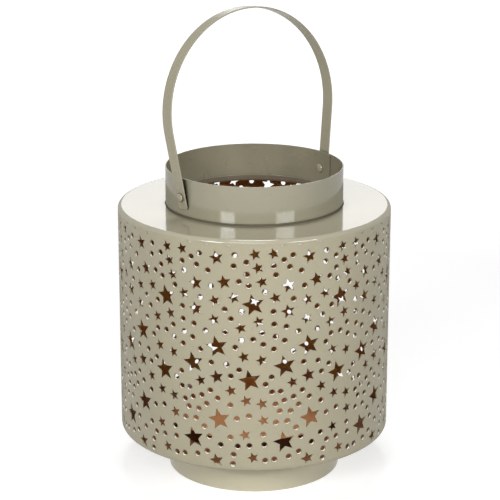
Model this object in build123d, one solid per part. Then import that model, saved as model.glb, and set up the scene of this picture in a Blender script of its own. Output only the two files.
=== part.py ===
from build123d import *
import math
import os

# Punched tin lantern: a drum of perforated sheet between two pressed plates, with a collar
# above, a foot ring below and a strap handle riveted to the collar.
# The origin is the centre of the foot, on the table. +Z is up and the handle turns about X.
# Lengths are in millimetres and angles in degrees.

# Sheet and drum
sheet = 0.8                     # thickness of all the tin
drum_radius = 90.0              # outside of the drum
drum_height = 154.0             # underside of the bottom plate to the top of the top plate
rim_radius = 2.8                # rounded outer edge of both plates
skirt_depth = 1.6               # length of the plates' edge that stands inside the shell
fit_gap = 0.05                  # between pieces that push into each other by hand

# Foot
foot_height = 28.0              # table to the underside of the bottom plate
foot_radius = 57.9              # outside of the foot ring

# Ring on the floor of the drum that keeps the candle in the middle
candle_ring_radius = 57.4
candle_ring_height = 7.6

# Collar round the mouth
collar_radius = 58.55
collar_top = 25.4               # above the top plate
mouth_lip = 3.6                 # turned-up edge of the mouth, above the top plate
lip_bend = 1.3                  # radius where the lip turns up out of the plate
collar_seat_share = 0.8         # of the bend's radius, where the collar rests on it

# Handle: a flat strap in a horseshoe, straight legs running into the half of an ellipse
strap_width = 9.1
strap_thickness = 0.9
strap_clearance = 1.75          # from the collar to the strap's inner face at the rivets
arch_overhang = 9.65            # outer face at the widest, beyond the collar
arch_rise = 64.7                # outer face, from the widest to the top
arch_centre_rise = 50.3         # of the widest place above the rivets
strap_tail = 8.0                # strap below the rivets
strap_corner = 1.6              # rounded corners of the two ends
handle_lean = 5.0               # from upright, as the handle is left standing

# Rivets
rivet_rise = 13.5               # above the top plate
rivet_shank_radius = 1.8
outer_head_radius = 2.7         # low head outside the strap
outer_head_height = 1.1
inner_head_radius = 3.2         # turned-over end inside the collar
inner_head_height = 1.9
rivet_head_shares = [(1, 0), (1, 0.2), (0.7, 0.8), (0.3, 1), (0, 1)]    # of radius and height
rivet_run_gap = 0.08            # all round the shank in the strap's hole
rivet_side_gap = 0.15           # between the outer head and the strap
rivet_seat_gap = 0.02           # between rivet and collar

# Punched pattern: one sheet pattern repeats along the strip that the shell is rolled from.
tile_length = 59.4              # along the strip
seam_azimuth = 189.0            # where the strip's ends meet, counted from the front (-Y)
seam_margin = 1.5               # plain sheet each side of the seam
edge_run_over = 0.6             # how far one point of a star may run out over the shell's edge
star_reach = {"small": 3.75, "medium": 4.7, "large": 7.3}       # middle to point
star_turn = {"small": 18, "medium": 12.5, "large": 12}          # against the clock, from outside
star_waist_share = 0.45         # inner corner against point
star_points = 5
overrun = 4.0                   # how far cutting tools reach past what they cut

# Each star: its place along the tile and up the drum, both as shares, and its kind.
# To keep the solid light, nine more small stars and all the round holes of the tile aren't cut.
star_shares = [
    (0.673, 0.943, "small"),
    (0.066, 0.922, "medium"),
    (0.509, 0.884, "small"),
    (0.149, 0.821, "medium"),
    (0.834, 0.806, "medium"),
    (0.255, 0.757, "small"),
    (0.045, 0.740, "small"),
    (0.460, 0.728, "large"),
    (0.832, 0.697, "medium"),
    (0.516, 0.657, "small"),
    (0.068, 0.543, "large"),
    (0.360, 0.505, "small"),
    (0.799, 0.462, "large"),
    (0.067, 0.412, "medium"),
    (0.425, 0.403, "large"),
    (0.885, 0.389, "small"),
    (0.385, 0.314, "small"),
    (0.570, 0.228, "small"),
    (0.093, 0.227, "large"),
    (0.797, 0.130, "large"),
    (0.460, 0.063, "small"),
    (0.062, 0.043, "medium"),
]

# Levels and radii that follow
plate_top = foot_height + drum_height
shell_bottom = foot_height + rim_radius
shell_top = plate_top - rim_radius
shell_bore = drum_radius - sheet
skirt_radius = shell_bore - fit_gap
floor_top = foot_height + sheet
collar_bore = collar_radius - sheet
lip_radius = collar_bore - fit_gap
mouth_radius = lip_radius - sheet
collar_bottom = plate_top + collar_seat_share * lip_bend
collar_rim = plate_top + collar_top
rivet_level = plate_top + rivet_rise
arch_half_width = collar_radius + arch_overhang
strap_foot_reach = collar_radius + strap_clearance + strap_thickness


def revolved(outline):
    """A closed outline in radius and height, turned once round the middle."""
    return revolve(Plane.XZ * make_face(outline), Axis.Z)


def band(outside, wall, bottom, top):
    """A plain rolled band."""
    width = Pos(outside - wall, bottom) * Rectangle(wall, top - bottom, align=(Align.MIN, Align.MIN))
    return revolve(Plane.XZ * width, Axis.Z)


def star_outline(kind):
    """Corners of one star as punched in the flat strip, about its own middle."""
    corners = []
    for corner in range(2 * star_points):
        radius = star_reach[kind] * (1 if corner % 2 == 0 else star_waist_share)
        angle = math.radians(90 + star_turn[kind] + corner * 180 / star_points)
        corners.append((radius * math.cos(angle), radius * math.sin(angle)))
    return corners


def star_punch(kind):
    """A star-shaped cutter at azimuth zero and height zero.

    The strip is punched flat and then rolled, so the hole's sides run towards the drum's middle.
    """
    sections = []
    for radius in (shell_bore - overrun, drum_radius + overrun):
        spread = radius / drum_radius
        corners = [(across * spread, up) for across, up in star_outline(kind)]
        face = Plane(origin=(radius, 0, 0), x_dir=(0, 1, 0), z_dir=(1, 0, 0))
        sections.append(face * Polygon(*corners, align=None))
    return loft(sections, ruled=True)


def punched_places(share, reach):
    """Where one hole of the tile falls along the strip, leaving out what the seam would cut."""
    strip_length = 2 * math.pi * drum_radius
    plain = seam_margin + reach
    places = []
    for tile in range(math.ceil(strip_length / tile_length)):
        along = (tile + share) * tile_length
        if plain <= along <= strip_length - plain:
            places.append(along)
    return places


def stays_in_shell(height, kind):
    """Whether a star at this height keeps in, as two points cut by an edge would free a scrap."""
    rises = [up for across, up in star_outline(kind)]
    lowest = height + min(rises)
    highest = height + max(rises)
    return lowest >= shell_bottom - edge_run_over and highest <= shell_top + edge_run_over


def make_drum_shell():
    shell = band(drum_radius, sheet, shell_bottom, shell_top)
    punches = {kind: star_punch(kind) for kind in star_reach}
    cuts = []
    for share, height_share, kind in star_shares:
        height = foot_height + height_share * drum_height
        if stays_in_shell(height, kind):
            for along in punched_places(share, star_reach[kind]):
                azimuth = seam_azimuth - 90 + math.degrees(along / drum_radius)
                cuts.append(Pos(0, 0, height) * Rot(0, 0, azimuth) * punches[kind])
    return shell.cut(*cuts)


def rim_edges(level, outward):
    """The edge of a pressed plate as joined lines, from its inner face to its outer face.

    level is the plate's outer face, and outward is 1 where that face looks up and -1 where it
    looks down.
    """
    seat = level - outward * rim_radius
    skirt_end = seat - outward * skirt_depth
    inner_radius = skirt_radius - sheet
    start = (inner_radius, level - outward * sheet)
    skirt = Polyline(start, (inner_radius, skirt_end), (skirt_radius, skirt_end),
                     (skirt_radius, seat), (drum_radius, seat))
    nose_end = (drum_radius - rim_radius, level)
    nose = RadiusArc((drum_radius, seat), nose_end, -outward * rim_radius)
    return start, [skirt, nose], nose_end


def make_top_plate():
    """An annular pressing: rounded outer edge with a skirt, and a lip turned up at the mouth."""
    start, edge, end = rim_edges(plate_top, 1)
    lip_top = plate_top + mouth_lip
    under_side = plate_top - sheet
    bend_start = (lip_radius + lip_bend, plate_top)
    bend_end = (lip_radius, plate_top + lip_bend)
    outline = edge + [
        Line(end, bend_start),
        RadiusArc(bend_start, bend_end, lip_bend),
        Polyline(bend_end, (lip_radius, lip_top), (mouth_radius, lip_top),
                 (mouth_radius, under_side + lip_bend), (mouth_radius + lip_bend, under_side), start),
    ]
    return revolved(outline)


def make_bottom_plate():
    """The floor of the drum: the same rounded edge, without a mouth."""
    start, edge, end = rim_edges(foot_height, -1)
    outline = edge + [Polyline(end, (0, foot_height), (0, floor_top), start)]
    return revolved(outline)


def make_collar():
    collar = band(collar_radius, sheet, collar_bottom, collar_rim)
    hole = Cylinder(rivet_shank_radius + rivet_seat_gap, 2 * (collar_radius + overrun))
    return collar - Pos(0, 0, rivet_level) * Rot(0, 90, 0) * hole


def arch_side(half_width, rise, foot):
    """Where a straight leg from its foot runs into the ellipse, as a parameter angle."""
    across = foot[0] / half_width
    up = (foot[1] - arch_centre_rise) / rise
    reach = math.hypot(across, up)
    return math.atan2(up, across) + math.acos(1 / reach)


def arch_face_line(inset):
    """One face of the strap, from tail to tail, set in from the outer face by inset.

    It is drawn across X and up from the rivets' level.
    """
    half_width = arch_half_width - inset
    rise = arch_rise - inset
    outer_angle = arch_side(arch_half_width, arch_rise, (strap_foot_reach, 0))
    outer_join = (arch_half_width * math.cos(outer_angle),
                  arch_centre_rise + arch_rise * math.sin(outer_angle))
    slope = math.atan2(outer_join[1], outer_join[0] - strap_foot_reach)
    foot = (strap_foot_reach - inset * math.sin(slope), inset * math.cos(slope))
    angle = arch_side(half_width, rise, foot)
    join = (half_width * math.cos(angle), arch_centre_rise + rise * math.sin(angle))
    tail = (foot[0] - strap_tail * math.cos(slope), foot[1] - strap_tail * math.sin(slope))
    turn = math.degrees(angle)
    bow = EllipticalCenterArc((0, arch_centre_rise), half_width, rise, turn, arc_size=180 - 2 * turn)
    return tail, join, bow


def make_handle():
    outer_tail, outer_join, outer_bow = arch_face_line(0)
    inner_tail, inner_join, inner_bow = arch_face_line(strap_thickness)
    mirrored = lambda point: (-point[0], point[1])
    outline = [
        Line(outer_tail, outer_join), outer_bow, Line(mirrored(outer_join), mirrored(outer_tail)),
        Line(mirrored(outer_tail), mirrored(inner_tail)),
        Line(mirrored(inner_tail), mirrored(inner_join)), inner_bow, Line(inner_join, inner_tail),
        Line(inner_tail, outer_tail),
    ]
    strap = extrude(Plane.XZ * make_face(outline), strap_width / 2, both=True)
    tail_corners = strap.edges().filter_by(GeomType.LINE).filter_by(
        lambda edge: abs(edge.length - strap_thickness) < fit_gap and edge.center().Z < 0)
    strap = fillet(tail_corners, strap_corner)
    hole = Cylinder(rivet_shank_radius + rivet_run_gap, 2 * (strap_foot_reach + overrun))
    strap = strap - Rot(0, 90, 0) * hole
    return Pos(0, 0, rivet_level) * Rot(-handle_lean, 0, 0) * strap


def rivet_head(radius, height):
    """A low head with a flat underside, standing on its origin and pointing along +Z."""
    outline = [(0, 0)] + [(across * radius, up * height) for across, up in rivet_head_shares]
    return revolve(Plane.XZ * make_face(Polyline(*outline, close=True)), Axis.Z)


def make_rivet(side):
    """One rivet; side is -1 or +1 along X. Its heads lie inside the collar and outside the strap."""
    inner_seat = math.sqrt(collar_bore ** 2 - inner_head_radius ** 2) - rivet_seat_gap
    outer_angle = arch_side(arch_half_width, arch_rise, (strap_foot_reach, 0))
    join_reach = arch_half_width * math.cos(outer_angle) - strap_foot_reach
    join_rise = arch_centre_rise + arch_rise * math.sin(outer_angle)
    strap_spread = outer_head_radius * join_reach / join_rise
    outer_seat = strap_foot_reach + strap_spread + rivet_side_gap
    shank = Pos(0, 0, inner_seat) * Cylinder(rivet_shank_radius, outer_seat - inner_seat,
                                             align=(Align.CENTER, Align.CENTER, Align.MIN))
    outer_head = Pos(0, 0, outer_seat) * rivet_head(outer_head_radius, outer_head_height)
    inner_head = Pos(0, 0, inner_seat) * Rot(180, 0, 0) * rivet_head(inner_head_radius, inner_head_height)
    return Pos(0, 0, rivet_level) * Rot(0, side * 90, 0) * (shank + outer_head + inner_head)


def make_parts():
    return {
        "drum_shell": make_drum_shell(),
        "top_plate": make_top_plate(),
        "bottom_plate": make_bottom_plate(),
        "candle_ring": band(candle_ring_radius, sheet, floor_top, floor_top + candle_ring_height),
        "foot_ring": band(foot_radius, sheet, 0, foot_height),
        "collar": make_collar(),
        "handle_strap": make_handle(),
        "left_rivet": make_rivet(-1),
        "right_rivet": make_rivet(1),
    }


os.makedirs("parts", exist_ok=True)
for name, shape in make_parts().items():
    export_step(shape, "parts/" + name + ".step")
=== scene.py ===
import math
import bpy
import numpy as np
from mathutils import Matrix, Vector
from mathutils.geometry import delaunay_2d_cdt


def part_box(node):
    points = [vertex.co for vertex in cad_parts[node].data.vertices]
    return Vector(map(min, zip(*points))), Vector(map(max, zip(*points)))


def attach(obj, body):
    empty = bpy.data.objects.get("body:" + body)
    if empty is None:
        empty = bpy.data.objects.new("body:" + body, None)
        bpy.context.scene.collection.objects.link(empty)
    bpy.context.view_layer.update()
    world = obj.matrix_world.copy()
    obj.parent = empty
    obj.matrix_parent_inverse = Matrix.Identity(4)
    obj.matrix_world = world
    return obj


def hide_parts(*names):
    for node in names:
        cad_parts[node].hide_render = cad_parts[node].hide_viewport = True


# Punched tin lantern. Metres, +Z up, the front of the frame is -Y.

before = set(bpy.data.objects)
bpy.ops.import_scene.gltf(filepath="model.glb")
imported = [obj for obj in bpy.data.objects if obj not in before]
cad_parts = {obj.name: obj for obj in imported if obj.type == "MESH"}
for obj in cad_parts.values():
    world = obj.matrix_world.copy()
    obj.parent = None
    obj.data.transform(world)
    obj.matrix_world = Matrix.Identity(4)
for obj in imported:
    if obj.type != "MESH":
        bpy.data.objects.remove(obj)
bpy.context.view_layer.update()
mm = 0.001

shellLow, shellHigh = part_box("drum_shell")
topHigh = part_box("top_plate")[1]
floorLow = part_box("bottom_plate")[0]
collarLow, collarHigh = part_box("collar")
footLow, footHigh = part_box("foot_ring")
ringLow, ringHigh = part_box("candle_ring")
leftLow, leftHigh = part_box("left_rivet")
rightLow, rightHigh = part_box("right_rivet")
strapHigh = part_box("handle_strap")[1]
tin = 0.8 * mm                      # thickness of all the sheet
fitGap = 0.05 * mm                  # between pieces pushed together
nothing = 1e-9                      # lengths below this count as none
print("frame loaded")


sheetMesh = {
    "edgeTurns": (0, 30, 60, 90),   # degrees round a punched or trimmed edge with a row of points
    "keepOff": 0.3,                 # share of the grid's spacing kept free round holes and edges
}
lathe = {
    "sides": 256,                   # of a full turn
    "arcStep": 15,                  # degrees per step of a profile's arc
}


# Puts whole arrays into a mesh. faces is a list of index arrays, each (count, corners).
def finishMesh(name, points, faces, normals, materials, zones):
    mesh = bpy.data.meshes.new(name)
    corners = np.concatenate([f.ravel() for f in faces])
    sizes = np.concatenate([np.full(len(f), f.shape[1]) for f in faces])
    starts = np.concatenate([[0], np.cumsum(sizes)[:-1]])
    mesh.vertices.add(len(points))
    mesh.vertices.foreach_set("co", points.astype(np.float32).ravel())
    mesh.loops.add(len(corners))
    mesh.loops.foreach_set("vertex_index", corners.astype(np.int32))
    mesh.polygons.add(len(sizes))
    mesh.polygons.foreach_set("loop_start", starts.astype(np.int32))
    mesh.polygons.foreach_set("use_smooth", np.ones(len(sizes), bool))
    mesh.polygons.foreach_set("material_index", zones.astype(np.int32))
    mesh.update(calc_edges=True)
    mesh.validate()
    mesh.normals_split_custom_set_from_vertices(normals.astype(np.float32))
    for material in materials:
        mesh.materials.append(material)
    piece = bpy.data.objects.new(name, mesh)
    bpy.context.scene.collection.objects.link(piece)
    return piece


# Per point of a counter-clockwise loop, the step that moves both of its sides one unit to their
# left: the two sides' left normals added and divided by one plus their dot product.
def cornerOffsets(loop):
    ahead = np.roll(loop, -1, axis=0) - loop
    ahead /= np.linalg.norm(ahead, axis=1, keepdims=True)
    left = np.stack([-ahead[:, 1], ahead[:, 0]], axis=1)
    before = np.roll(left, 1, axis=0)
    return (left + before) / (1 + np.sum(left * before, axis=1, keepdims=True))


# Crossing count of a level ray from each point with the loop's sides.
def insideLoop(points, loop):
    a, b = loop, np.roll(loop, -1, axis=0)
    px, py = points[:, :1], points[:, 1:]
    crosses = (a[:, 1] > py) != (b[:, 1] > py)
    rise = np.where(b[:, 1] == a[:, 1], 1, b[:, 1] - a[:, 1])
    at = a[:, 0] + (py - a[:, 1]) / rise * (b[:, 0] - a[:, 0])
    return np.sum(crosses & (px < at), axis=1) % 2 == 1


# Extra points for a sheet's faces: a level grid, less the points near a hole or past the outline
# moved inwards by its corner offsets.
def faceGrid(outline, inward, edge, holes, holeEdges, spacing):
    low, high = outline.min(0), outline.max(0)
    steps = np.maximum(np.round((high - low) / spacing).astype(int), 1)
    lines = [np.linspace(low[k], high[k], steps[k] + 1)[1:-1] for k in (0, 1)]
    grid = np.stack(np.meshgrid(*lines, indexing="ij"), axis=-1).reshape(-1, 2)
    keepOff = spacing * sheetMesh["keepOff"]
    clear = insideLoop(grid, outline + inward * (edge + keepOff))
    for hole, holeEdge in zip(holes, holeEdges):
        middle = hole.mean(0)
        reach = np.max(np.linalg.norm(hole - middle, axis=1))
        clear &= np.linalg.norm(grid - middle, axis=1) > reach + holeEdge[0] + keepOff
    return grid[clear]


# One face of a sheet: a Delaunay triangulation of the loops' points and the grid that keeps the
# loops' sides, less the triangles past the outline or inside a hole. owner says which loop a point
# is on, and after which point follows it.
def faceTriangles(base, grid, owner, after, firsts, counts):
    sites = np.concatenate([base, grid])
    sides = np.stack([np.arange(len(base)), after], axis=1)
    out = delaunay_2d_cdt([Vector(p) for p in sites], sides.tolist(), [], 0, nothing)
    source = np.array([o[0] if o else 0 for o in out[3]])
    triangles = source[np.array(out[2])]
    centre = sites[triangles].mean(1)
    kept = insideLoop(centre, base[:counts[0]])
    group = np.concatenate([owner, np.full(len(grid), -1)])[triangles]
    within = (group[:, 0] == group[:, 1]) & (group[:, 1] == group[:, 2]) & (group[:, 0] > 0)
    for which in np.unique(group[within, 0]):
        members = np.where(within & (group[:, 0] == which))[0]
        hole = base[firsts[which]:firsts[which] + counts[which]]
        kept[members] &= ~insideLoop(centre[members], hole)
    return triangles[kept]


# A flat sheet with rounded edges, cut by holes and then bent. Outline and holes are loops in the
# flat (along, up), with the sheet on their left. Each loop gives rows of points: a quarter ellipse
# from the outer face into the wall, the wall, and a small bevel onto the inner face. bend takes
# along, up and depth and gives the place and the directions along, up and out. A hole's edge is
# (wide, deep, lip standing in, index of its material). The outline's edge is as wide as deep, and
# rim is the index of its material. The outer face gets the first material, the inner the last.
def punchedSheet(name, outline, holes, spacing, thick, bend, materials, edge, holeEdges, burr,
                 rim=0):
    loops = [outline] + holes
    counts = np.array([len(loop) for loop in loops])
    owner = np.repeat(np.arange(len(loops)), counts)
    firsts = np.concatenate([[0], np.cumsum(counts)[:-1]])
    here = np.concatenate(loops)
    total = len(here)
    after = np.arange(total) + 1
    after[firsts + counts - 1] = firsts

    into = np.concatenate([cornerOffsets(loop) for loop in loops])
    wide, deep, drawn = [np.array([first] + [h[k] for h in holeEdges])[owner][:, None]
                         for k, first in enumerate((edge, edge, 0))]
    rows = [(wide * (1 - math.sin(t)), deep * (1 - math.cos(t)), t)
            for t in np.radians(sheetMesh["edgeTurns"])]
    rows.append((wide * 0, drawn + thick - burr, math.pi / 2))
    rows.append((wide * 0 + burr, drawn + thick, math.pi))
    flat = np.concatenate([here + into * inset for inset, depth, t in rows])
    depths = np.concatenate([np.broadcast_to(depth, (total, 1)) for inset, depth, t in rows])[:, 0]
    unit = into / np.linalg.norm(into, axis=1, keepdims=True)
    tilts = [np.arctan2(math.sin(t) * deep[:, 0], math.cos(t) * wide[:, 0])
             for inset, depth, t in rows]
    lean = np.concatenate([-unit * np.sin(tilt)[:, None] for tilt in tilts])
    outward = np.concatenate([np.cos(tilt) for tilt in tilts])

    quads = []
    for row in range(len(rows) - 1):
        a, b = row * total + np.arange(total), row * total + after
        quads.append(np.stack([a, a + total, b + total, b], axis=1))
    grid = faceGrid(outline, into[:counts[0]], edge, holes, holeEdges, spacing)
    triangles = []
    for row, side in ((0, 1), (len(rows) - 1, -1)):
        base = flat[row * total:(row + 1) * total]
        tris = faceTriangles(base, grid, owner, after, firsts, counts)
        gridStart = len(rows) * total + (0 if side > 0 else len(grid))
        tris = np.where(tris < total, tris + row * total, tris - total + gridStart)
        triangles.append(tris if side > 0 else tris[:, ::-1])

    flat = np.concatenate([flat, grid, grid])
    depths = np.concatenate([depths, np.zeros(len(grid)), np.full(len(grid), thick)])
    lean = np.concatenate([lean, np.zeros((2 * len(grid), 2))])
    outward = np.concatenate([outward, np.ones(len(grid)), -np.ones(len(grid))])
    place, alongWay, upWay, outWay = bend(flat[:, 0], flat[:, 1], depths)
    normals = alongWay * lean[:, :1] + upWay * lean[:, 1:] + outWay * outward[:, None]
    normals /= np.linalg.norm(normals, axis=1, keepdims=True)
    faces = [np.concatenate(quads), triangles[0], triangles[1]]
    rims = np.tile(np.array([rim] + [h[3] for h in holeEdges])[owner], len(rows) - 1)
    zones = np.concatenate([rims, np.zeros(len(faces[1])),
                            np.full(len(faces[2]), len(materials) - 1)])
    return finishMesh(name, place, faces, normals, materials, zones)


# Rolls the flat onto a cylinder: the angle grows by along over the outside radius, and the distance
# from the axis is the radius less the depth. Angle zero is the front.
def rolled(radius, startAngle):
    def bend(along, up, depth):
        angle = startAngle + along / radius
        zero = np.zeros_like(angle)
        out = np.stack([np.sin(angle), -np.cos(angle), zero], axis=1)
        way = np.stack([np.cos(angle), np.sin(angle), zero], axis=1)
        place = out * (radius - depth)[:, None]
        place[:, 2] = up
        return place, way, np.broadcast_to([0, 0, 1], out.shape), out
    return bend


# A rectangle as a counter-clockwise loop with points every step or so along its length.
def stripOutline(length, low, high, step):
    count = max(int(round(length / step)), 2)
    rise = max(int(round((high - low) / step)), 2)
    along, up = np.linspace(0, length, count + 1), np.linspace(low, high, rise + 1)
    return np.concatenate([
        np.stack([along[:-1], np.full(count, low)], 1),
        np.stack([np.full(rise, length), up[:-1]], 1),
        np.stack([along[:0:-1], np.full(count, high)], 1),
        np.stack([np.zeros(rise), up[:0:-1]], 1),
    ])


# A strip along its middle line as a counter-clockwise loop: both long sides have points every step
# or so, and each corner is a quarter circle.
def roundedStrip(length, half, corner, step, cornerPoints):
    count = int(length / step)
    near, far, low, high = corner, length - corner, corner - half, half - corner
    side = np.stack([np.linspace(near, far, count), np.full(count, -half)], 1)
    arcs = []
    for x, y, start in ((far, low, -90), (far, high, 0), (near, high, 90), (near, low, 180)):
        t = np.radians(start + np.linspace(0, 90, cornerPoints)[1:-1])
        arcs.append(np.stack([x + corner * np.cos(t), y + corner * np.sin(t)], 1))
    return np.concatenate([side, arcs[0], [[length, low], [length, high]], arcs[1],
                           side[::-1] * [1, -1], arcs[2], [[0, high], [0, low]], arcs[3]])


# A circle as a clockwise loop, so that the sheet lies on its left.
def roundLoop(middle, radius, sides):
    turn = -np.arange(sides) * 2 * math.pi / sides
    return np.stack([middle[0] + radius * np.cos(turn), middle[1] + radius * np.sin(turn)], axis=1)


# A star as a clockwise loop: the radius changes between the reach and the waist.
def starLoop(middle, reach, waist, turn, points):
    step = np.arange(2 * points)
    radius = np.where(step % 2 == 0, reach, waist)
    angle = math.radians(90 + turn) - step * math.pi / points
    return np.stack([middle[0] + radius * np.cos(angle), middle[1] + radius * np.sin(angle)], axis=1)


# A closed outline in (radius, height) with each corner turned into an arc of its own radius,
# counter-clockwise. An arc touches both sides, and its points are an arm turned about its middle.
# Returns the points and their outward normals, two of each at a sharp corner.
def roundedProfile(corners):
    spots = np.array([c[:2] for c in corners], float)
    points, normals = [], []
    for k, (_, _, radius) in enumerate(corners):
        here, back, ahead = spots[k], spots[k - 1] - spots[k], spots[(k + 1) % len(spots)] - spots[k]
        back, ahead = back / np.linalg.norm(back), ahead / np.linalg.norm(ahead)
        if radius <= 0:
            points.append([here, here])
            normals.append([[-back[1], back[0]], [ahead[1], -ahead[0]]])
            continue
        half = math.acos(max(-1, min(1, back @ ahead))) / 2
        cut = radius / math.tan(half)
        middle = here + (back + ahead) / np.linalg.norm(back + ahead) * radius / math.sin(half)
        a, b = here + back * cut - middle, here + ahead * cut - middle
        sweep = math.atan2(a[0] * b[1] - a[1] * b[0], a @ b)
        steps = max(int(abs(sweep) / math.radians(lathe["arcStep"])), 2)
        turn = np.linspace(0, sweep, steps + 1)[:, None]
        arm = a * np.cos(turn) + np.array([-a[1], a[0]]) * np.sin(turn)
        points.append(middle + arm)
        normals.append((1 if sweep > 0 else -1) * arm / radius)
    return np.concatenate(points), np.concatenate(normals)


# A lathe piece: each profile point is carried round Z, with its normal turned alike. whichPaint
# gives each side's material index from its radius and twice its normal (outwards, up).
def turned(name, corners, materials, whichPaint):
    points, normals = roundedProfile(corners)
    sides, count = lathe["sides"], len(points)
    angle = np.arange(sides) * 2 * math.pi / sides
    out = np.stack([np.sin(angle), -np.cos(angle)], axis=1)
    place, way = np.zeros((sides, count, 3)), np.zeros((sides, count, 3))
    for target, source in ((place, points), (way, normals)):
        target[:, :, :2] = out[:, None, :] * source[None, :, :1]
        target[:, :, 2] = source[None, :, 1]
    column, row = np.meshgrid(np.arange(sides), np.arange(count), indexing="ij")
    nextColumn, nextRow = (column + 1) % sides, (row + 1) % count
    quads = np.stack([column * count + row, nextColumn * count + row,
                      nextColumn * count + nextRow, column * count + nextRow], axis=-1)
    ahead = np.roll(points, -1, axis=0)
    apart = np.linalg.norm(points - ahead, axis=1) > nothing
    onAxis = (points[:, 0] < nothing) & (ahead[:, 0] < nothing)
    use = apart & ~onAxis
    radius, facing = (points[:, 0] + ahead[:, 0]) / 2, normals + np.roll(normals, -1, axis=0)
    zones = np.tile(whichPaint(radius[use], facing[use, 0], facing[use, 1]), sides)
    return finishMesh(name, place.reshape(-1, 3), [quads[:, use].reshape(-1, 4)],
                      way.reshape(-1, 3), materials, zones)


enamelWork = {
    # noise: scale, detail, roughness
    "mottling": (28, 4, 0.6), "specks": (620, 2, 0.5), "wear": (90, 5, 0.6), "waves": (260, 3, 0.5),
    "speckRange": (0.66, 0.74),     # from no speck to a full one, in the noise
    "speckShade": 0.55,             # share of the colour left in a speck
    "paintedHighlightRange": (0.2, 0.65),     # from none to all painted highlight, in how far a face looks up
    "cornerShade": 0.05,            # share of the colour left in a closed corner: painted shade
    "cornerSamples": 8,
    "wearRange": (0.8, 1.25),       # shares of the roughness
    "turnedAway": (0.5, 0.85),      # from full gloss to edgeIor's, in how far a face turns away
    "waveHeight": 0.25 * mm,
}


# Enamel on tin: a base colour with soft mottling, a fine wavy bump from brushing and spraying, a
# changing roughness, and a few darker rubbed specks. Where asked, a painted highlight where a face
# looks up, and painted shade in narrow places.
def paint(name, colour, rough, mottle, bump, grime, ior=1.5, edgeIor=None, sheen=(1, 1, 1),
          paintedHighlight=None, corners=0, closing=(0.2, 0.75)):
    material = bpy.data.materials.new(name)
    material.use_nodes = True
    nodes, links = material.node_tree.nodes, material.node_tree.links
    shader = nodes["Principled BSDF"]
    where = nodes.new("ShaderNodeTexCoord")

    def noise(kind):
        node = nodes.new("ShaderNodeTexNoise")
        for socket, value in zip(("Scale", "Detail", "Roughness"), enamelWork[kind]):
            node.inputs[socket].default_value = value
        links.new(where.outputs["Object"], node.inputs["Vector"])
        return node.outputs["Fac"]

    def remap(value, low, high, fromLow=0.3, fromHigh=0.7):
        node = nodes.new("ShaderNodeMapRange")
        node.inputs["From Min"].default_value = fromLow
        node.inputs["From Max"].default_value = fromHigh
        node.inputs["To Min"].default_value = low
        node.inputs["To Max"].default_value = high
        links.new(value, node.inputs["Value"])
        return node.outputs["Result"]

    def blendColour(factor, a, b):
        node = nodes.new("ShaderNodeMix")
        node.data_type = "RGBA"
        links.new(factor, node.inputs["Factor"])
        for socket, value in (("A", a), ("B", b)):
            slot = [s for s in node.inputs if s.name == socket and s.type == "RGBA"][0]
            if isinstance(value, tuple):
                slot.default_value = value + (1,)
            else:
                links.new(value, slot)
        return [s for s in node.outputs if s.type == "RGBA"][0]

    def shade(share):
        return tuple(min(c * share, 1) for c in colour)

    body = blendColour(remap(noise("mottling"), 0, 1), shade(1 - mottle), shade(1 + mottle))
    specks = remap(noise("specks"), 0, grime, *enamelWork["speckRange"])
    body = blendColour(specks, body, shade(enamelWork["speckShade"]))
    if paintedHighlight:                      # painted highlight: lighter where the edge of a hole faces up, as light from above falls there
        split = nodes.new("ShaderNodeSeparateXYZ")
        links.new(where.outputs["Normal"], split.inputs["Vector"])
        facesUp = remap(split.outputs["Z"], 0, 1, *enamelWork["paintedHighlightRange"])
        body = blendColour(facesUp, body, paintedHighlight)
    if corners:                     # painted shade: darker where the place is narrower than this
        narrow = nodes.new("ShaderNodeAmbientOcclusion")
        narrow.inputs["Distance"].default_value = corners
        narrow.samples = enamelWork["cornerSamples"]
        closed = remap(narrow.outputs["AO"], 1, 0, *closing)
        body = blendColour(closed, body, shade(enamelWork["cornerShade"]))
    links.new(body, shader.inputs["Base Color"])
    smoother, rougher = (rough * share for share in enamelWork["wearRange"])
    links.new(remap(noise("wear"), smoother, rougher), shader.inputs["Roughness"])
    shader.inputs["IOR"].default_value = ior
    if edgeIor:                     # less gloss where the face turns away
        facing = nodes.new("ShaderNodeLayerWeight")
        gloss = remap(facing.outputs["Facing"], ior, edgeIor, *enamelWork["turnedAway"])
        links.new(gloss, shader.inputs["IOR"])
    shader.inputs["Specular Tint"].default_value = sheen + (1,)
    waves = nodes.new("ShaderNodeBump")
    waves.inputs["Strength"].default_value = bump
    waves.inputs["Distance"].default_value = enamelWork["waveHeight"]
    links.new(noise("waves"), waves.inputs["Height"])
    links.new(waves.outputs["Normal"], shader.inputs["Normal"])
    return material


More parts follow.
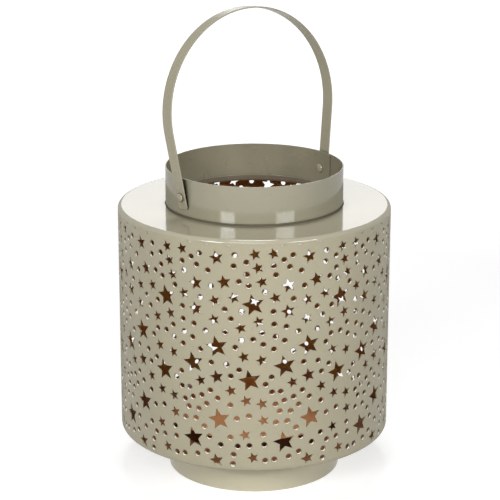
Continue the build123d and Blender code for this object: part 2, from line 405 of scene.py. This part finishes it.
paints = {
    "shell": dict(colour=(0.39, 0.357, 0.258), rough=0.24, mottle=0.03, bump=0.12, grime=0.35,
                  ior=1.32, edgeIor=1.03, sheen=(0.28, 0.25, 0.2)),
    # lip: painted shade, darker than the shell, on the dots' punched edges, with a painted highlight
    # where they face up
    "lip": dict(colour=(0.22, 0.19, 0.13), rough=0.15, mottle=0.03, bump=0.08, grime=0.2,
                paintedHighlight=(0.97, 0.90, 0.75)),
    "gloss": dict(colour=(0.375, 0.347, 0.249), rough=0.10, mottle=0.02, bump=0.03, grime=0.3),
    "nose": dict(colour=(0.375, 0.347, 0.249), rough=0.10, mottle=0.02, bump=0.03, grime=0.3,
                 edgeIor=1.04),
    # creaseShade: painted shade, dark matt paint on the plate's bend under the collar, where the
    # joint is in shade
    "creaseShade": dict(colour=(0.14, 0.125, 0.088), rough=0.6, mottle=0.1, bump=0.1, grime=0.3,
                   ior=1.15),
    # skirtGlint: painted highlight, near-white paint on the plate's skirt, seen through the rim dots
    # as glints
    "skirtGlint": dict(colour=(0.88, 0.86, 0.80), rough=0.15, mottle=0.04, bump=0.05, grime=0.2),
    # mouthShade: painted shade, a dark copy of the greige paint on the mouth's shaded upturned edge
    "mouthShade": dict(colour=(0.17, 0.14, 0.095), rough=0.35, mottle=0.05, bump=0.1, grime=0.5),
    "inside": dict(colour=(0.44, 0.205, 0.045), rough=0.45, mottle=0.12, bump=0.2, grime=0.6,
                   ior=1.25),
    # floor: painted pool of light, a lighter copy of the copper where light falls through the mouth;
    # floorEdgeShade: painted shade outside the ring
    "floor": dict(colour=(0.80, 0.37, 0.14), rough=0.4, mottle=0.1, bump=0.15, grime=0.6, ior=1.3),
    "floorEdgeShade": dict(colour=(0.36, 0.155, 0.058), rough=0.4, mottle=0.12, bump=0.15, grime=0.6,
                      ior=1.3),
    # ring: painted shade, a dark copy of the copper on the ring's outer face; ringRimHighlight:
    # painted highlight on its edges
    "ring": dict(colour=(0.12, 0.055, 0.025), rough=0.4, mottle=0.1, bump=0.15, grime=0.6,
                 ior=1.25),
    "ringRimHighlight": dict(colour=(0.90, 0.42, 0.15), rough=0.3, mottle=0.1, bump=0.1, grime=0.3),
    # foot: painted light, a lighter copy of the gloss paint for the light the foot gets from the
    # floor
    "foot": dict(colour=(0.54, 0.50, 0.365), rough=0.12, mottle=0.02, bump=0.03, grime=0.3,
                 ior=1.4),
    # collar: painted shade, a darker copy of the gloss paint, with painted shade in narrow places
    "collar": dict(colour=(0.292, 0.274, 0.195), rough=0.10, mottle=0.02, bump=0.03, grime=0.3,
                   edgeIor=1.1, corners=6 * mm),
    # collarInsideShade: painted shade, a darker copy again for the collar's shaded inside, with
    # painted shade in narrow places
    "collarInsideShade": dict(colour=(0.248, 0.228, 0.158), rough=0.3, mottle=0.03, bump=0.03, grime=0.4,
                         corners=6 * mm),
    # rivet: painted shade in narrow places round the heads
    "rivet": dict(colour=(0.33, 0.305, 0.22), rough=0.14, mottle=0.03, bump=0.08, grime=0.4,
                  corners=3 * mm),
    # strap: painted shade in the narrow gap against the collar, made stronger by closing
    "strap": dict(colour=(0.35, 0.323, 0.232), rough=0.26, mottle=0.03, bump=0.06, grime=0.4,
                  ior=1.3, corners=4 * mm, closing=(0.45, 0.92)),
}
enamel = {key: paint("paint_" + key, **values) for key, values in paints.items()}
print("paints made")


drum = {
    "height": 154 * mm,             # plate to plate; places up the drum are shares of it
    "base": 28 * mm,
    "tile": 59.4 * mm,              # the pattern repeats along the strip; places along are shares
    "seam": 189,                    # where the strip's ends meet, in degrees from the front
    "seamGap": 0.1 * mm,
    "margin": 1.5 * mm,             # plain sheet each side of the seam
    "step": 3 * mm, "grid": 6 * mm, # spacing of points on the outline and on the faces
    "edge": 0.15 * mm, "burr": 0.05 * mm,
    # a punched edge is rounded so wide and so deep, its lip stands in so far, index of its paint
    "starEdge": (0.25 * mm, 0.3 * mm, 0.1 * mm, 0),
    # the dots' edges take the lip paint: painted shade with a painted highlight where they face up
    "dotEdge": (0.55 * mm, 0.5 * mm, 0.1 * mm, 1),
    "rimDotEdge": (0.1 * mm, 0.1 * mm, 0, 0),
    "dot": 1.6 * mm, "dotSides": 14,            # radius
    "rimDot": 1.9 * mm, "rimDotSides": 20,      # over the plate's skirt, whose near-white painted highlight shows through
    "rimDots": [(0.958, 0.984), (0.196, 0.984), (0.763, 0.985)],
    "rimLeft": 0.3 * mm,            # sheet left between these and the top edge that cuts them off
    "filled": 0.6 * mm,             # a star's point below this is filled with paint
    "points": 5,
    "waist": 0.45,                  # share of the reach
    "kinds": {"small": (3.75 * mm, 18), "medium": (4.7 * mm, 12.5), "large": (7.3 * mm, 12)},
    "stars": {
        "small": [(0.673, 0.943), (0.477, 0.941), (0.509, 0.884), (0.550, 0.826), (0.255, 0.757),
                  (0.693, 0.756), (0.045, 0.740), (0.040, 0.659), (0.516, 0.657), (0.328, 0.629),
                  (0.360, 0.505), (0.550, 0.491), (0.885, 0.389), (0.222, 0.356), (0.385, 0.314),
                  (0.555, 0.301), (0.570, 0.228), (0.373, 0.164), (0.460, 0.063)],
        "medium": [(0.066, 0.922), (0.149, 0.821), (0.834, 0.806), (0.832, 0.697), (0.067, 0.412),
                   (0.062, 0.043)],
        "large": [(0.460, 0.728), (0.068, 0.543), (0.799, 0.462), (0.425, 0.403), (0.093, 0.227),
                  (0.797, 0.130)],
    },
    "dots": [(0.262, 0.938), (0.880, 0.934), (0.784, 0.916), (0.388, 0.908), (0.253, 0.891),
             (0.846, 0.885), (0.674, 0.892), (0.974, 0.866), (0.393, 0.857), (0.698, 0.854),
             (0.309, 0.826), (0.412, 0.810), (0.011, 0.801), (0.582, 0.784), (0.888, 0.749),
             (0.157, 0.706), (0.673, 0.699), (0.338, 0.701), (0.223, 0.667), (0.681, 0.645),
             (0.812, 0.632), (0.553, 0.610), (0.162, 0.610), (0.945, 0.609), (0.696, 0.592),
             (0.336, 0.578), (0.459, 0.581), (0.794, 0.573), (0.566, 0.559), (0.270, 0.545),
             (0.679, 0.538), (0.888, 0.526), (0.008, 0.473), (0.176, 0.470), (0.311, 0.448),
             (0.656, 0.417), (0.221, 0.420), (0.592, 0.386), (0.661, 0.352), (0.755, 0.353),
             (0.996, 0.351), (0.898, 0.326), (0.077, 0.319), (0.795, 0.313), (0.699, 0.298),
             (0.216, 0.293), (0.954, 0.290), (0.745, 0.267), (0.864, 0.264), (0.415, 0.248),
             (0.284, 0.235), (0.705, 0.218), (0.829, 0.221), (0.927, 0.189), (0.568, 0.167),
             (0.216, 0.151), (0.982, 0.147), (0.420, 0.117), (0.580, 0.122), (0.295, 0.113),
             (0.109, 0.115), (0.250, 0.075), (0.959, 0.081), (0.590, 0.051), (0.688, 0.055),
             (0.846, 0.063), (0.243, 0.034)],
}
drumRadius = shellHigh.x


# Every repeat of the given places that stays clear of the seam.
def tiled(places, reach, length):
    spots = []
    for tile in range(int(length / drum["tile"]) + 1):
        for share, rise in places:
            along = (tile + share) * drum["tile"]
            if drum["margin"] + reach < along < length - drum["margin"] - reach:
                spots.append((along, drum["base"] + rise * drum["height"]))
    return spots


# The drum: a strip as long as its circumference, punched in the flat and then rolled.
def makeShell():
    length = 2 * math.pi * drumRadius - drum["seamGap"]
    holes, edges = [], []
    for kind, places in drum["stars"].items():
        reach, turn = drum["kinds"][kind]
        for spot in tiled(places, reach, length):
            star = starLoop(spot, reach, reach * drum["waist"], turn, drum["points"])
            star[:, 1] = np.maximum(star[:, 1], shellLow.z + drum["filled"])
            holes.append(star)
            edges.append(drum["starEdge"])
    for spot in tiled(drum["dots"], drum["dot"] + drum["dotEdge"][0], length):
        holes.append(roundLoop(spot, drum["dot"], drum["dotSides"]))
        edges.append(drum["dotEdge"])
    for spot in tiled(drum["rimDots"], drum["rimDot"], length):
        dot = roundLoop(spot, drum["rimDot"], drum["rimDotSides"])
        holes.append(dot[dot[:, 1] < shellHigh.z - drum["rimLeft"]])
        edges.append(drum["rimDotEdge"])
    outline = stripOutline(length, shellLow.z, shellHigh.z, drum["step"])
    shell = punchedSheet("drumSheet", outline, holes, drum["grid"], tin,
                         rolled(drumRadius, math.radians(drum["seam"])),
                         [enamel[key] for key in ("shell", "lip", "inside")],
                         edge=drum["edge"], holeEdges=edges, burr=drum["burr"])
    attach(shell, "lantern")
    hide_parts("drum_shell")


makeShell()
print("drum shell made")


plate = {
    "nose": 2.8 * mm,               # radius of the rounded outer edge
    "skirt": 1.6 * mm,              # how far the plate reaches into the shell
    "lip": 3.6 * mm, "bend": 1.3 * mm,      # height of the mouth's upturned edge, and its bend
    "edge": 0.2 * mm, "crisp": 0.1 * mm,
}


# Top and bottom: the sheet's section in (radius, height, corner radius), turned round Z. Sides get
# their paint by where they are and which way they face.
def makePlates():
    edge, crisp, nose, bend = plate["edge"], plate["crisp"], plate["nose"], plate["bend"]
    skirt = drumRadius - tin - fitGap
    skirtInside = skirt - tin
    top = topHigh.z - plate["lip"]
    seat = top - nose
    lip = collarHigh.x - tin - fitGap
    corners = [
        (skirt, seat - plate["skirt"], edge), (skirt, seat, 0), (drumRadius, seat, crisp),
        (drumRadius, top, nose - crisp), (lip, top, bend), (lip, topHigh.z, edge),
        (lip - tin, topHigh.z, edge), (lip - tin, top - tin, bend + tin * 0.5),
        (skirtInside, top - tin, nose - tin), (skirtInside, seat - plate["skirt"], edge),
    ]

    def topPaint(radius, out, up):
        atMouth = radius <= lip + tin + bend
        behindSkirt = radius < skirt - tin * 0.5
        inside = ~atMouth & ((up < -0.3) & behindSkirt | (out < -0.3))
        # painted shade on the mouth's upturned edge
        mouthShade = atMouth & ((out < -0.3) | (up < -0.3)) & (up < 0.5)
        skirtGlintZone = (out > 0.6) & (abs(radius - skirt) < fitGap)          # painted highlight: near-white skirt under the shell, seen through the rim dots
        turnedDown = (out > 0.3) & (up > 0.05) & (radius > drumRadius - nose)
        creaseShade = (up > 0.3) & (radius > lip) & (radius < lip + bend)    # painted shade on the plate's bend under the collar
        return np.select([inside, mouthShade, skirtGlintZone, turnedDown, creaseShade], [1, 2, 3, 4, 5], 0)

    zones = ("gloss", "inside", "mouthShade", "skirtGlint", "nose", "creaseShade")
    upper = turned("topPressing", corners, [enamel[key] for key in zones], topPaint)
    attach(upper, "lantern")
    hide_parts("top_plate")

    low = floorLow.z
    seat = low + nose
    corners = [
        (0, low, 0), (drumRadius, low, nose - crisp), (drumRadius, seat, crisp), (skirt, seat, 0),
        (skirt, seat + plate["skirt"], edge), (skirtInside, seat + plate["skirt"], edge),
        (skirtInside, low + tin, nose - tin), (ringHigh.x, low + tin, 0), (0, low + tin, 0),
    ]

    def floorPaint(radius, out, up):
        seenInside = (radius < skirt - tin * 0.5) & ((out < -0.6) | (up > 0.6))
        return seenInside * np.where(radius < ringHigh.x, 1, 2)         # painted pool of light: lighter inside the ring; painted shade outside it

    zones = ("shell", "floor", "floorEdgeShade")
    lower = turned("bottomPressing", corners, [enamel[key] for key in zones], floorPaint)
    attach(lower, "lantern")
    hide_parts("bottom_plate")


makePlates()
print("plates made")


rivetHole = {"shank": 1.8 * mm, "inCollar": 0.03 * mm, "inStrap": 0.08 * mm,    # radius, slack
             "sides": 24, "edge": (0.1 * mm, 0.1 * mm, 0, 0)}
rivetLevel = (leftLow.z + leftHigh.z) / 2
bands = {
    # seam in degrees from the front
    "collar": dict(low=collarLow, high=collarHigh, seam=78.9, paint=("collar", "collarInsideShade"),
                   slot="paint_gloss", edge=0.3 * mm, rim=0),
    "foot_ring": dict(low=footLow, high=footHigh, seam=205, paint=("foot",),
                      slot="paint_gloss", edge=0.25 * mm, rim=0),
    # the candle ring's outer face carries painted shade, its edges a painted highlight
    "candle_ring": dict(low=ringLow, high=ringHigh, seam=140, paint=("ring", "ringRimHighlight", "inside"),
                        slot="paint_inside", edge=0.2 * mm, rim=1),
}
bandSheet = {"seamGap": 0.25 * mm, "step": 2 * mm, "grid": 5 * mm, "burr": 0.2 * mm}
lap = {"width": 5.4 * mm, "start": 78.2, "thick": 0.6 * mm, "rise": 0.3 * mm,
       "step": 1 * mm, "grid": 2 * mm, "edge": 0.15 * mm, "burr": 0.1 * mm}


# Collar, foot and candle ring: plain strips rolled to their outside radius. The collar has a hole
# for each rivet, at the left and at the right.
def makeBands():
    for node, band in bands.items():
        radius = band["high"].x
        length = 2 * math.pi * radius - bandSheet["seamGap"]
        start = math.radians(band["seam"])
        holes = []
        if node == "collar":
            size = rivetHole["shank"] + rivetHole["inCollar"]
            for side in (90, 270):
                along = (math.radians(side) - start) % (2 * math.pi) * radius
                holes.append(roundLoop((along, rivetLevel), size, rivetHole["sides"]))
        outline = stripOutline(length, band["low"].z, band["high"].z, bandSheet["step"])
        piece = punchedSheet(node + "Sheet", outline, holes, bandSheet["grid"], tin,
                             rolled(radius, start), [enamel[key] for key in band["paint"]],
                             edge=band["edge"], holeEdges=[rivetHole["edge"]] * len(holes),
                             burr=bandSheet["burr"], rim=band["rim"])
        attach(piece, "lantern")
        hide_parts(node)


# A short strip inside the collar, welded over its seam.
def makeLap():
    radius = collarHigh.x - tin - fitGap
    outline = stripOutline(lap["width"], topHigh.z + lap["rise"], collarHigh.z - lap["rise"],
                           lap["step"])
    piece = punchedSheet("collarLap", outline, [], lap["grid"], lap["thick"],
                         rolled(radius, math.radians(lap["start"])), [enamel["collarInsideShade"]],
                         edge=lap["edge"], holeEdges=[], burr=lap["burr"])
    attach(piece, "lantern")
    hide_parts("collar")


makeBands()
makeLap()
print("bands made")


handle = {
    "width": 9.1 * mm, "thick": 0.9 * mm,
    "halfWidth": strapHigh.x,       # of the arch; it and the rise are the ellipse's half axes
    "rise": 64.7 * mm,
    "centreRise": 50.3 * mm,        # ellipse's middle over the rivets
    "footReach": 61.2 * mm,         # outer face to the middle at the rivets
    "tail": 8.0 * mm,               # strap past the rivet
    "corner": 1.6 * mm,
    "lean": 5.0,                    # degrees back from upright
    "edge": 0.3 * mm, "burr": 0.25 * mm,
    "step": 2 * mm, "grid": 4 * mm, "cornerPoints": 8, "legPoints": 20, "bowPoints": 200,
}


# The outer face from the right tail over the top to the left tail: a straight leg that runs into
# the ellipse without a kink, the upper part of the ellipse and the other leg. Returns the distance
# run, the places (across, up) and the directions there.
def strapLine():
    a, b, c = handle["halfWidth"], handle["rise"], handle["centreRise"]
    across, up = handle["footReach"] / a, -c / b
    join = math.atan2(up, across) + math.acos(1 / math.hypot(across, up))
    joinSpot = np.array([a * math.cos(join), c + b * math.sin(join)])
    foot = np.array([handle["footReach"], 0])
    way = (joinSpot - foot) / np.linalg.norm(joinSpot - foot)
    tail = foot - way * handle["tail"]
    leg = np.linspace(0, 1, handle["legPoints"])[:, None] * (joinSpot - tail) + tail
    turn = np.linspace(join, math.pi - join, handle["bowPoints"])[1:]
    bow = np.stack([a * np.cos(turn), c + b * np.sin(turn)], axis=1)
    line = np.concatenate([leg, bow, (leg * [-1, 1])[::-1][1:]])
    run = np.concatenate([[0], np.cumsum(np.linalg.norm(np.diff(line, axis=0), axis=1))])
    legWay = np.broadcast_to(way, leg.shape)
    bowWay = np.stack([-a * np.sin(turn), b * np.cos(turn)], axis=1)
    ways = np.concatenate([legWay, bowWay / np.linalg.norm(bowWay, axis=1, keepdims=True),
                           (legWay * [1, -1])[::-1][1:]])
    return run, line, ways


# The strap: cut and punched in the flat, then bent along its line.
def makeHandle():
    run, line, ways = strapLine()
    length = run[-1]
    lean = math.radians(handle["lean"])
    side = np.array([0, -math.cos(lean), math.sin(lean)])      # across the strap
    rise = np.array([0, math.sin(lean), math.cos(lean)])       # up the leaning arch

    def leaning(x, z):
        return np.stack([x, 0 * x, 0 * x], 1) + z[:, None] * rise

    # The place on the outer face at that distance run, less the depth along its normal.
    def bend(along, up, depth):
        x, z = np.interp(along, run, line[:, 0]), np.interp(along, run, line[:, 1])
        wx, wz = np.interp(along, run, ways[:, 0]), np.interp(along, run, ways[:, 1])
        size = np.hypot(wx, wz)
        wx, wz = wx / size, wz / size
        place = leaning(x - wz * depth, z + wx * depth) + up[:, None] * side
        place[:, 2] += rivetLevel
        return place, leaning(wx, wz), np.broadcast_to(side, place.shape), leaning(wz, -wx)

    outline = roundedStrip(length, handle["width"] / 2, handle["corner"], handle["step"],
                           handle["cornerPoints"])
    holes = [roundLoop((along, 0), rivetHole["shank"] + rivetHole["inStrap"], rivetHole["sides"])
             for along in (handle["tail"], length - handle["tail"])]
    strap = punchedSheet("strap", outline, holes, handle["grid"], handle["thick"], bend,
                         [enamel["strap"]], edge=handle["edge"],
                         holeEdges=[rivetHole["edge"]] * 2, burr=handle["burr"])
    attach(strap, "handle")
    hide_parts("handle_strap")


makeHandle()
print("handle made")


rivet = {
    "outer": (2.7 * mm, 1.1 * mm), "inner": (3.2 * mm, 1.9 * mm),       # head's radius and height
    "brim": 0.3 * mm,               # straight wall under each dome
    "sides": 48, "domePoints": 10, "sharpFrom": 50,
}


# Each rivet is one profile turned round X: a dome, the shank and the other dome.
def makeRivets():
    for node, low, high, sign in (("left_rivet", leftLow, leftHigh, -1),
                                  ("right_rivet", rightLow, rightHigh, 1)):
        inner, outer = (low.x, high.x) if sign > 0 else (-high.x, -low.x)
        (outRadius, outHeight), (inRadius, inHeight) = rivet["outer"], rivet["inner"]
        shank, sides = rivetHole["shank"], rivet["sides"]
        t = np.radians(np.linspace(0, 90, rivet["domePoints"]))
        outDome, inDome = outHeight - rivet["brim"], inHeight - rivet["brim"]
        outX, outR = outer - outDome + outDome * np.sin(t), outRadius * np.cos(t)
        inX, inR = inner + inDome - inDome * np.sin(t), inRadius * np.cos(t)
        seatOut, seatIn = outer - outHeight, inner + inHeight
        x = np.concatenate([inX[::-1], [seatIn, seatIn, seatOut, seatOut], outX])
        r = np.concatenate([inR[::-1], [inRadius, shank, shank, outRadius], outR])
        turn = np.arange(sides)[:, None] * 2 * math.pi / sides
        place = np.stack([np.broadcast_to(sign * x, (sides, len(x))), np.cos(turn) * r,
                          np.sin(turn) * r + rivetLevel], axis=-1)
        column, row = np.meshgrid(np.arange(sides), np.arange(len(x) - 1), indexing="ij")
        a = column * len(x) + row
        d = (column + 1) % sides * len(x) + row
        ring = [a, d, d + 1, a + 1] if sign < 0 else [a, a + 1, d + 1, d]
        quads = np.stack(ring, axis=-1).reshape(-1, 4)
        mesh = bpy.data.meshes.new(node + "Body")
        mesh.from_pydata(place.reshape(-1, 3).tolist(), [], quads.tolist())
        mesh.materials.append(enamel["rivet"])
        mesh.shade_smooth()
        mesh.set_sharp_from_angle(angle=math.radians(rivet["sharpFrom"]))
        piece = bpy.data.objects.new(node + "Body", mesh)
        bpy.context.scene.collection.objects.link(piece)
        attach(piece, "lantern")
        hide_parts(node)


makeRivets()
print("rivets made")


studio = {
    "camera": (-757.7 * mm, -908.6 * mm, 508.46 * mm),
    "heading": (0.6386, 0.7695), "pitch": 16.915, "roll": 0.054,       # degrees down, degrees
    "lens": 133.9, "sensor": 36, "clip": (0.05, 50),
    "floorSize": 12, "floorDrop": 0.1 * mm, "floorShade": 0.65, "floorRough": 0.9,
    "floorGlow": (0.62, 1.0), "glowReach": (0.5, 1.3),      # glow near and far, and how far
    "ambient": 0.03,
    "aim": (0, 0, 0.15),            # what the lamps point at
}
lamps = {
    # degrees round from the camera, degrees up, distance, width, height, power
    "keyRight": (39.5, 18, 1.6, 0.64, 0.27, 10.8),
    "keyLeft": (-34, 18, 1.6, 0.48, 0.30, 11.6),
    "front": (-6, 30, 1.6, 0.8, 0.4, 7.4),
    "back": (180, 21, 1.8, 0.6, 0.55, 1.75),
    "over": (180, 79, 1.5, 0.4, 0.4, 8.5),
}


# One value for camera, glossy and transmission rays and another for the rest.
def seenRays(tree, otherwise, seen):
    rays = tree.nodes.new("ShaderNodeLightPath")
    total = rays.outputs["Is Camera Ray"]
    for kind in ("Is Glossy Ray", "Is Transmission Ray"):
        add = tree.nodes.new("ShaderNodeMath")
        add.operation = "ADD"
        add.use_clamp = True
        tree.links.new(total, add.inputs[0])
        tree.links.new(rays.outputs[kind], add.inputs[1])
        total = add.outputs[0]
    level = tree.nodes.new("ShaderNodeMapRange")
    level.inputs["To Min"].default_value = otherwise
    level.inputs["To Max"].default_value = seen
    tree.links.new(total, level.inputs["Value"])
    return level.outputs["Result"]


def makeCamera(forward):
    scene = bpy.context.scene
    pitch = math.radians(studio["pitch"])
    look = Vector((forward.x * math.cos(pitch), forward.y * math.cos(pitch), -math.sin(pitch)))
    camera = bpy.data.objects.new("camera", bpy.data.cameras.new("camera"))
    camera.data.sensor_width = studio["sensor"]
    camera.data.lens = studio["lens"]
    camera.data.clip_start, camera.data.clip_end = studio["clip"]
    camera.matrix_world = (Matrix.Translation(studio["camera"])
                           @ look.to_track_quat("-Z", "Y").to_matrix().to_4x4()
                           @ Matrix.Rotation(math.radians(studio["roll"]), 4, "Z"))
    scene.collection.objects.link(camera)
    scene.camera = camera


# A sheet of pale paper that keeps the object's shadow and glows to white with distance.
def makeFloor():
    mesh = bpy.data.meshes.new("floor")
    size = studio["floorSize"]
    mesh.from_pydata([(-size, -size, 0), (size, -size, 0), (size, size, 0), (-size, size, 0)],
                     [], [(0, 1, 2, 3)])
    floor = bpy.data.objects.new("floor", mesh)
    floor.location.z = -studio["floorDrop"]
    bpy.context.scene.collection.objects.link(floor)
    material = bpy.data.materials.new("floorPaper")
    material.use_nodes = True
    nodes, links = material.node_tree.nodes, material.node_tree.links
    shader = nodes["Principled BSDF"]
    shader.inputs["Base Color"].default_value = (studio["floorShade"],) * 3 + (1,)
    shader.inputs["Roughness"].default_value = studio["floorRough"]
    shader.inputs["Specular IOR Level"].default_value = 0
    shader.inputs["Emission Color"].default_value = (1, 1, 1, 1)
    where, far = nodes.new("ShaderNodeTexCoord"), nodes.new("ShaderNodeVectorMath")
    far.operation = "LENGTH"
    links.new(where.outputs["Object"], far.inputs[0])
    level = nodes.new("ShaderNodeMapRange")
    for socket, value in zip(("From Min", "From Max", "To Min", "To Max"),
                             studio["glowReach"] + studio["floorGlow"]):
        level.inputs[socket].default_value = value
    links.new(far.outputs["Value"], level.inputs["Value"])
    glow = nodes.new("ShaderNodeMath")
    glow.operation = "MULTIPLY"
    links.new(seenRays(material.node_tree, 0, 1), glow.inputs[0])
    links.new(level.outputs["Result"], glow.inputs[1])
    links.new(glow.outputs[0], shader.inputs["Emission Strength"])
    mesh.materials.append(material)


# White all round to look at and to mirror, a faint light from it, and five soft lamps.
def makeLight(forward):
    scene = bpy.context.scene
    world = bpy.data.worlds.new("studio")
    scene.world = world
    world.use_nodes = True
    background = world.node_tree.nodes["Background"]
    background.inputs["Color"].default_value = (1, 1, 1, 1)
    world.node_tree.links.new(seenRays(world.node_tree, studio["ambient"], 1),
                              background.inputs["Strength"])
    aim = Vector(studio["aim"])
    cameraAngle = math.atan2(-forward.y, -forward.x)
    for name, (around, up, distance, width, height, power) in lamps.items():
        data = bpy.data.lights.new(name, "AREA")
        data.shape = "RECTANGLE"
        data.size, data.size_y, data.energy = width, height, power
        lamp = bpy.data.objects.new(name, data)
        angle, lift = cameraAngle + math.radians(around), math.radians(up)
        spot = aim + distance * Vector((math.cos(angle) * math.cos(lift),
                                        math.sin(angle) * math.cos(lift), math.sin(lift)))
        lamp.location = spot
        lamp.rotation_mode = "QUATERNION"
        lamp.rotation_quaternion = (aim - spot).to_track_quat("-Z", "Y")
        scene.collection.objects.link(lamp)
    scene.view_settings.view_transform = "Standard"


cameraForward = Vector(studio["heading"]).normalized()
makeCamera(cameraForward)
makeFloor()
makeLight(cameraForward)
print("studio made")
